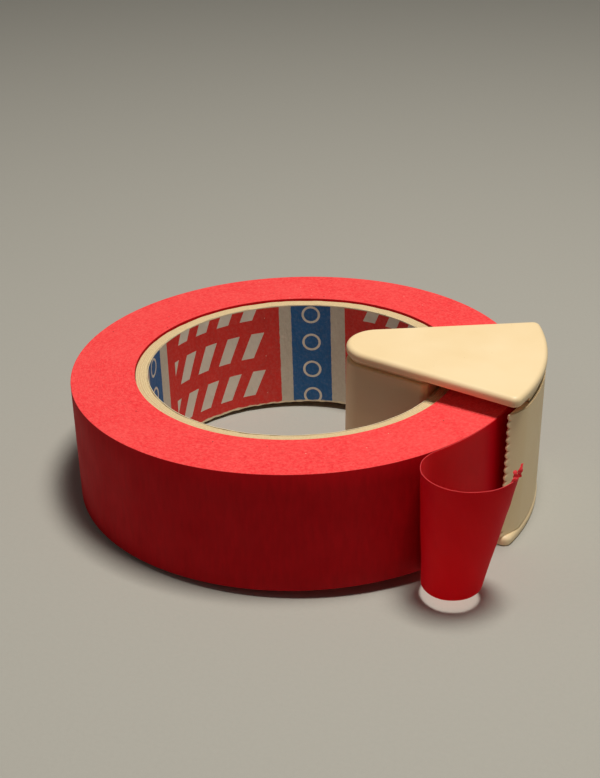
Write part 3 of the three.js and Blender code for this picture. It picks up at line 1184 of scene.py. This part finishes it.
@dataclass
class Roll:
    """The roll: printed paper liner, wound board core and the tape wound on it."""

    place: Matrix
    width: float = 31.0 * MM
    winding: Ring = Ring(41.35 * MM, 57.5 * MM, 0.0, 31.0 * MM, 0.16 * MM, 72, 6, 360)
    core: Ring = Ring(38.3 * MM, 41.22 * MM, 0.1 * MM, 30.45 * MM, 0.12 * MM, 22, 4, 300)
    liner: Ring = Ring(38.12 * MM, 38.28 * MM, 0.1 * MM, 30.42 * MM, 0.03 * MM, 1, 44, 320)
    turn_pitch: float = 0.13 * MM
    turn_unevenness: float = 0.05 * MM
    turn_samples: int = 150
    ply_samples: int = 24
    face_wave: float = 0.05 * MM
    ply_unevenness: float = 0.16 * MM
    rim_wander: float = 0.16 * MM
    crease: float = 0.1 * MM
    fray: float = 0.1 * MM
    back: TapeBack = field(default_factory=TapeBack)
    edges: TapeEdges = field(default_factory=TapeEdges)
    board: WoundBoard = field(default_factory=WoundBoard)
    printed: PrintedLiner = field(default_factory=PrintedLiner)

    def sink_faces(self, points: np.ndarray, depth: DepthRule) -> np.ndarray:
        """Moves the points of both flat faces inwards by a depth that depends on radius and angle."""
        x, y, z = points.T
        highest, lowest = z.max(), z.min()
        radius, angle = np.hypot(x, y), np.arctan2(y, x)
        sunk = depth(radius, angle)
        near_face = 0.5 * MM
        top = np.clip((z - highest + near_face) / near_face, 0.0, 1.0)
        foot = np.clip((lowest + near_face - z) / near_face, 0.0, 1.0)
        return np.stack((x, y, z + sunk * (foot - top)), axis=1)

    def turn_depth(self, radius: np.ndarray, angle: np.ndarray) -> np.ndarray:
        """Gives how deep the cut edge of each turn of tape lies below the flat face."""
        chance = np.random.default_rng(SEED)
        ladder = np.linspace(self.winding.bore - MM, self.winding.radius + MM, self.turn_samples)
        spiral = radius - self.turn_pitch * angle / math.tau
        turns = np.interp(spiral, ladder, chance.uniform(0.0, 1.0, ladder.size)) * self.turn_unevenness
        wave = (1 + ripple(angle, (2, 3, 5, 9), SEED)) * 0.5 * self.face_wave
        return np.clip(turns + wave, 0.0, None)

    def ply_depth(self, radius: np.ndarray, angle: np.ndarray) -> np.ndarray:
        """Gives how deep each ply of the core's board lies below its rim."""
        chance = np.random.default_rng(SEED + 1)
        ladder = np.linspace(self.core.bore - MM, self.core.radius + MM, self.ply_samples)
        plies = np.interp(radius, ladder, chance.uniform(0.0, 1.0, ladder.size)) * self.ply_unevenness
        torn = (1 + ripple(angle, (7, 13, 22, 37, 61), SEED + 2)) * 0.35 * self.ply_unevenness
        return np.clip(plies + torn, 0.0, None)

    def make_winding(self) -> bpy.types.Object:
        """Makes the wound tape, with the turns' edges slightly uneven on its flat faces."""
        piece = self.winding.spin("winding")
        place_points(piece, lambda points: self.sink_faces(points, self.turn_depth))
        turn = self.place.inverted()
        dress(piece, self.edges.make("tape_edges", turn))
        piece.data.materials.append(self.back.make("tape_back", turn))
        for face in piece.data.polygons:
            face.material_index = int(abs(face.normal.z) < 0.6)
        return piece

    def wander(self, points: np.ndarray) -> np.ndarray:
        """Lets the core's bore wander in and out a little near its rims."""
        x, y, z = points.T
        radius, angle = np.hypot(x, y), np.arctan2(y, x)
        near_bore = np.clip((self.core.radius - radius) / (self.core.radius - self.core.bore), 0.0, 1.0)
        wave = np.clip(1 + ripple(angle, (3, 8, 17, 29), SEED + 3), 0.0, 2.0) * 0.5
        near_rim = np.exp(-((self.width - z) / (2 * MM)) ** 2)
        wider = 1 + wave * near_bore * self.rim_wander * near_rim / radius
        return np.stack((x * wider, y * wider, z), axis=1)

    def make_core(self) -> bpy.types.Object:
        """Makes the board core with a rough, uneven rim."""
        piece = self.core.spin("core")
        place_points(piece, lambda points: self.wander(self.sink_faces(points, self.ply_depth)))
        dress(piece, self.board.make("wound_board", self.place.inverted()))
        return piece

    def creased(self, points: np.ndarray) -> np.ndarray:
        """Wrinkles the liner's paper and frays its upper and lower edges."""
        x, y, z = points.T
        radius, angle = np.hypot(x, y), np.arctan2(y, x)
        slant = z / self.width
        around = ripple(angle + 0.22 * slant, (9, 16, 31, 47), SEED + 4)
        waves = around * ripple(slant * 4, (1, 2, 3), SEED + 5)
        inward = np.clip(0.5 + 0.5 * waves, 0.0, 1.0) * self.crease
        drop = self.fray * np.clip(0.6 + 0.5 * ripple(angle, (5, 23, 57), SEED + 6), 0.05, 1.0)
        low = 2 * self.fray * np.clip(0.6 + ripple(angle, (11, 41, 77), SEED + 7), 0.0, 1.0)
        z = z + low * (1 - slant) - drop * slant
        scale = (radius - inward) / radius
        return np.stack((x * scale, y * scale, z), axis=1)

    def make_liner(self) -> bpy.types.Object:
        """Makes the printed paper inside the core."""
        piece = self.liner.spin("liner")
        place_points(piece, self.creased)
        dress(piece, self.printed.make("printed_paper", self.place.inverted()))
        return piece

    def build(self) -> None:
        """Makes the three pieces upright and lays them in the roll's place."""
        for piece, node in (
            (self.make_winding(), "tape_winding"),
            (self.make_core(), "core_tube"),
            (self.make_liner(), "core_liner"),
        ):
            lay_in_place(piece, self.place)
            stand_in(piece, Body.ROLL, node)


# ---- Free end of the tape --------------------------------------------------------------------------


@dataclass(frozen=True)
class Scrap:
    """One torn scrap: where it stands along the strip, from 0 to 1, and its sizes and lean."""

    station: float
    height: float
    breadth: float
    lean: float


@dataclass
class TapeEnd:
    """Free end of the tape: the last stretch on the roll, then a cone-shaped curl with a torn tip."""

    place: Matrix
    width: float = 31.0 * MM
    roll_radius: float = 57.5 * MM
    standoff: float = 0.3 * MM
    wrapped_standoff: float = 0.06 * MM
    root: float = math.radians(-42.8)
    length: float = 40.0 * MM
    wrapped: float = 50.0 * MM
    top_radii: tuple[float, float] = (9.4 * MM, 12.9 * MM)
    foot_radii: tuple[float, float] = (9.0 * MM, 5.9 * MM)
    thickness: float = 0.14 * MM
    tear_pitch: float = 2.05 * MM
    tear_depth: float = 0.45 * MM
    waviness: float = 0.12 * MM
    wrapped_steps: int = 50
    curl_steps: int = 120
    rows: int = 120
    scraps: tuple[Scrap, ...] = (
        Scrap(1.0, 3.0 * MM, 1.3 * MM, 0.3),
        Scrap(0.985, 1.9 * MM, 1.3 * MM, -0.4),
        Scrap(0.96, 1.1 * MM, 1.2 * MM, 0.2),
    )
    scrap_narrowing: float = 0.55
    scrap_root: float = 0.25 * MM
    scrap_colour: Colour = tone(246, 70, 76)
    film: TapeFilm = field(default_factory=TapeFilm)

    def turned(self, radii: tuple[float, float]) -> float:
        """Gives how far an edge turns over the curl's length, from its bend radius at each end."""
        return self.length * (1 / radii[0] + 1 / radii[1]) / 2

    def curl_edge(self, radii: tuple[float, float], turns: np.ndarray) -> np.ndarray:
        """Finds where one edge of the curl, carried on past its end if need be, has turned by given angles.

        Args:
            radii: The edge's bend radius at the roll and at its end.
            turns: How far the edge has turned since it left the roll, for each point wanted.

        Returns:
            The points in plan, as N by 2.
        """
        start = self.roll_radius + self.standoff
        first, last = 1 / radii[0], 1 / radii[1]
        stride = self.length / self.curl_steps
        s = np.arange(2 * self.curl_steps + 1) * stride
        turned = first * s + (last - first) * s**2 / (2 * self.length)
        middle = self.root - math.pi / 2 + (turned[:-1] + turned[1:]) / 2
        x = start * math.cos(self.root) + np.concatenate(([0.0], np.cumsum(np.cos(middle)))) * stride
        y = start * math.sin(self.root) + np.concatenate(([0.0], np.cumsum(np.sin(middle)))) * stride
        growing = slice(0, int(np.argmax(turned)) + 1)
        found = [np.interp(turns, turned[growing], line[growing]) for line in (x, y)]
        return np.stack(found, axis=1)

    def wrapped_place(self, share: np.ndarray) -> np.ndarray:
        """Gives the stretch still on the roll, in plan, from its start at 0 to the curl's root at 1."""
        angle = self.root + (1 - share) * self.wrapped / self.roll_radius
        lift = (self.standoff - self.wrapped_standoff) * share**6
        radius = self.roll_radius + self.wrapped_standoff + lift
        return np.stack((np.cos(angle) * radius, np.sin(angle) * radius), axis=1)

    def shaped(self, flat: np.ndarray) -> np.ndarray:
        """Bends the flat strip. The curl's straight rulings join points where its edges run parallel.

        Args:
            flat: Points with X from 0 to 1 along the strip and Y from 0 to 1 up its width.

        Returns:
            The bent strip's points, about the upright roll.
        """
        total = self.wrapped_steps + self.curl_steps
        up = flat[:, 1]
        station = flat[:, 0] * total
        tear = self.tear_depth * (np.abs(np.sin(math.pi * up * self.width / self.tear_pitch)) - 1)
        tear += 0.35 * self.tear_depth * ripple(up * math.tau, (2, 5, 9, 21), SEED + 8)
        near_end = np.clip((station - total + 4) / 4, 0.0, 1.0)
        station = np.clip(station + near_end * tear * self.curl_steps / self.length, 0.0, total)
        share = np.clip((station - self.wrapped_steps) / self.curl_steps, 0.0, 1.0)
        turns = share * (self.turned(self.foot_radii) * (1 - up) + self.turned(self.top_radii) * up)
        lower = self.curl_edge(self.foot_radii, turns)
        upper = self.curl_edge(self.top_radii, turns)
        lean = np.minimum(np.hypot(*(upper - lower).T), self.width / 2)
        sag = (self.width - np.sqrt(self.width**2 - lean**2)) / 2
        plan = lower + (upper - lower) * up[:, None]
        wound = np.clip(station / self.wrapped_steps, 0.0, 1.0)
        on_roll = self.wrapped_place(wound)
        plan = np.where((share > 0)[:, None], plan, on_roll)
        heading = self.root - math.pi / 2 + turns
        around = self.root + (1 - wound) * self.wrapped / self.roll_radius
        facing = np.where(share > 0, heading + math.pi / 2, around)
        swell = self.waviness * np.clip(share * 6, 0.0, 1.0)
        wave = swell * ripple(share * 6 + up * 2.2, (1, 2, 3), SEED + 9)
        away = np.stack((np.cos(facing), np.sin(facing)), axis=1) * (np.abs(wave) + self.thickness)[:, None]
        return np.column_stack((plan + away, sag + up * (self.width - 2 * sag)))

    def make_strip(self) -> bpy.types.Object:
        """Makes the strip from a flat grid and bends it."""
        bpy.ops.object.select_all(action="DESELECT")
        steps = self.wrapped_steps + self.curl_steps
        bpy.ops.mesh.primitive_grid_add(
            x_subdivisions=steps,
            y_subdivisions=self.rows,
            size=1.0,
            location=(0.5, 0.5, 0.0),
            calc_uvs=True,
        )
        strip = bpy.context.object
        strip.name = "tape_end"
        bpy.ops.object.transform_apply(location=True, rotation=True, scale=True)
        self.scale_map(strip)
        place_points(strip, self.shaped)
        return strip

    def scale_map(self, strip: bpy.types.Object) -> None:
        """Stretches the strip's UV map to metres along and across the tape."""
        size = np.array((self.length + self.wrapped, self.width))
        layer = strip.data.uv_layers.active.data
        places = np.empty(len(layer) * 2)
        layer.foreach_get("uv", places)
        layer.foreach_set("uv", (places.reshape(-1, 2) * size).ravel())

    def thicken(self, strip: bpy.types.Object) -> None:
        """Gives the strip its thickness, with its own material on each face and on the cut edges."""
        only(strip)
        bpy.ops.object.modifier_add(type="SOLIDIFY")
        solid = strip.modifiers[-1]
        solid.thickness = self.thickness
        solid.offset = 0.0
        solid.material_offset = 1
        solid.material_offset_rim = 2
        bpy.ops.object.modifier_apply(modifier=solid.name)
        smooth(strip, math.radians(40))

    def make_scraps(self) -> bpy.types.Object:
        """Makes the small frayed strips that the tear left standing at the tip's upper corner."""
        bpy.ops.object.select_all(action="DESELECT")
        places = self.shaped(np.array([(scrap.station, 1.0, 0.0) for scrap in self.scraps]))
        pieces = []
        for place, scrap in zip(places, self.scraps):
            bpy.ops.mesh.primitive_grid_add(
                x_subdivisions=5, y_subdivisions=8, size=1.0, location=(0.0, 0.5, 0.0), calc_uvs=True
            )
            piece = bpy.context.object
            bpy.ops.object.transform_apply(location=True, rotation=True, scale=True)
            place_points(piece, lambda flat: self.torn(flat, place, scrap))
            pieces.append(piece)
        bpy.ops.object.select_all(action="DESELECT")
        for piece in pieces:
            piece.select_set(True)
        bpy.context.view_layer.objects.active = pieces[0]
        bpy.ops.object.join()
        return pieces[0]

    def torn(self, flat: np.ndarray, place: np.ndarray, scrap: Scrap) -> np.ndarray:
        """Curls one scrap upwards from its place and narrows it unevenly to a ragged tip.

        Args:
            flat: Points with X from -0.5 to 0.5 across the scrap and Y from 0 to 1 up it.
            place: Where its foot stands.
            scrap: Its sizes and lean.

        Returns:
            The curled scrap's points.
        """
        across, up = flat[:, 0], flat[:, 1]
        ragged = 1 + 0.3 * np.sin(11 * up + 5 * scrap.lean)
        side = across * scrap.breadth * (1 - self.scrap_narrowing * up**2) * ragged
        curl = scrap.height * (0.35 * up**2 + 0.12 * np.sin(7 * up + scrap.lean))
        x = place[0] + side * 0.8 + scrap.lean * scrap.height * up * 0.7
        y = place[1] + side * 0.6 + curl
        return np.column_stack((x, y, place[2] - self.scrap_root + up * scrap.height))

    def build(self) -> None:
        strip = self.make_strip()
        strip.data.materials.clear()
        strip.data.materials.append(self.film.side("tape_back_side", self.film.back, 0.7))
        # The gummed side's brighter red is painted light for the curl's lit outer face.
        strip.data.materials.append(self.film.side("tape_gum_side_painted_lit", self.film.gum_painted_lit, 0.6))
        strip.data.materials.append(self.film.edge("tape_torn_edge"))
        self.thicken(strip)
        scraps = self.make_scraps()
        scraps.name = "tape_scraps"
        scraps.data.materials.clear()
        scraps.data.materials.append(self.film.side("scrap_paper", self.scrap_colour, 0.7))
        only(scraps)
        bpy.ops.object.modifier_add(type="SOLIDIFY")
        scraps.modifiers[-1].thickness = self.thickness
        bpy.ops.object.modifier_apply(modifier=scraps.modifiers[-1].name)
        smooth(scraps, math.radians(40))
        for piece in (strip, scraps):
            lay_in_place(piece, self.place)
            stand_in(piece, Body.TAIL, "tape_tail")


# ---- Studio ----------------------------------------------------------------------------------------


@dataclass(frozen=True)
class Lamp:
    """A square soft light that shines at the object."""

    name: str
    place: tuple[float, float, float]
    size: float
    power: float
    colour: tuple[float, float, float] = (1.0, 1.0, 1.0)

    def hang(self, aim: Vector) -> None:
        """Adds the light, turned to a point."""
        bpy.ops.object.light_add(type="AREA", location=self.place)
        lamp = bpy.context.object
        lamp.name = self.name
        lamp.data.size = self.size
        lamp.data.energy = self.power
        lamp.data.color = self.colour
        lamp.rotation_euler = (aim - lamp.location).to_track_quat("-Z", "Y").to_euler()


@dataclass
class Studio:
    """Camera, plain pale floor and soft light from overhead and from the left."""

    aim: Vector = field(default_factory=lambda: Vector((-5.354 * MM, 13.772 * MM, 17.852 * MM)))
    azimuth: float = math.radians(14.02)
    elevation: float = math.radians(27.05)
    distance: float = 0.4
    lens: float = 68.94
    floor_size: float = 60.0
    floor_colour: Colour = tone(166, 165, 158)
    sky: Colour = (1.0, 0.97, 0.93, 1.0)
    sky_strength: float = 0.05
    lamps: tuple[Lamp, ...] = (
        Lamp("overhead", (0.12, -0.03, 0.80), 0.2, 6.7, (1.0, 0.95, 0.87)),
        Lamp("left_fill", (-0.9, -0.3, 0.45), 0.7, 0.7, (1.0, 0.95, 0.9)),
    )

    def set_camera(self) -> None:
        """Adds the camera at its angle and distance from the aim."""
        back = Vector(
            (
                math.sin(self.azimuth) * math.cos(self.elevation),
                -math.cos(self.azimuth) * math.cos(self.elevation),
                math.sin(self.elevation),
            )
        )
        bpy.ops.object.camera_add(location=self.aim + back * self.distance)
        camera = bpy.context.object
        camera.name = "camera"
        camera.rotation_euler = (-back).to_track_quat("-Z", "Y").to_euler()
        camera.data.lens = self.lens
        camera.data.clip_start = 0.01
        bpy.context.scene.camera = camera

    def lay_floor(self) -> None:
        """Adds the floor with a plain matt finish."""
        bpy.ops.mesh.primitive_plane_add(size=self.floor_size)
        floor = bpy.context.object
        floor.name = "floor"
        nodes = Nodes("floor_paper", 0.9)
        tooth = nodes.noise(nodes.place(), 900.0, 3.0)
        paler = tuple(min(1.0, part * 1.06) for part in self.floor_colour[:3]) + (1.0,)
        floor.data.materials.append(
            nodes.finish(nodes.mix(tooth, self.floor_colour, paler), nodes.relief(tooth, 0.05 * MM))
        )

    def build(self) -> None:
        """Sets up the camera, floor and lights."""
        self.set_camera()
        self.lay_floor()
        for lamp in self.lamps:
            lamp.hang(self.aim)
        world = bpy.data.worlds.new("studio_sky")
        world.use_nodes = True
        background = world.node_tree.nodes["Background"]
        background.inputs["Color"].default_value = self.sky
        background.inputs["Strength"].default_value = self.sky_strength
        bpy.context.scene.world = world
        bpy.context.scene.view_settings.view_transform = "Standard"


# ---- Assembly --------------------------------------------------------------------------------------


def main() -> None:
    """Builds the clip, the roll, the tape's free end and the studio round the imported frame."""
    logging.basicConfig(level=logging.INFO, format="%(name)s: %(message)s", force=True)
    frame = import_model()
    Studio().build()
    place = roll_place(frame["joints"])
    Clip().build()
    Roll(place).build()
    TapeEnd(place).build()


if __name__ == "__main__":
    main()
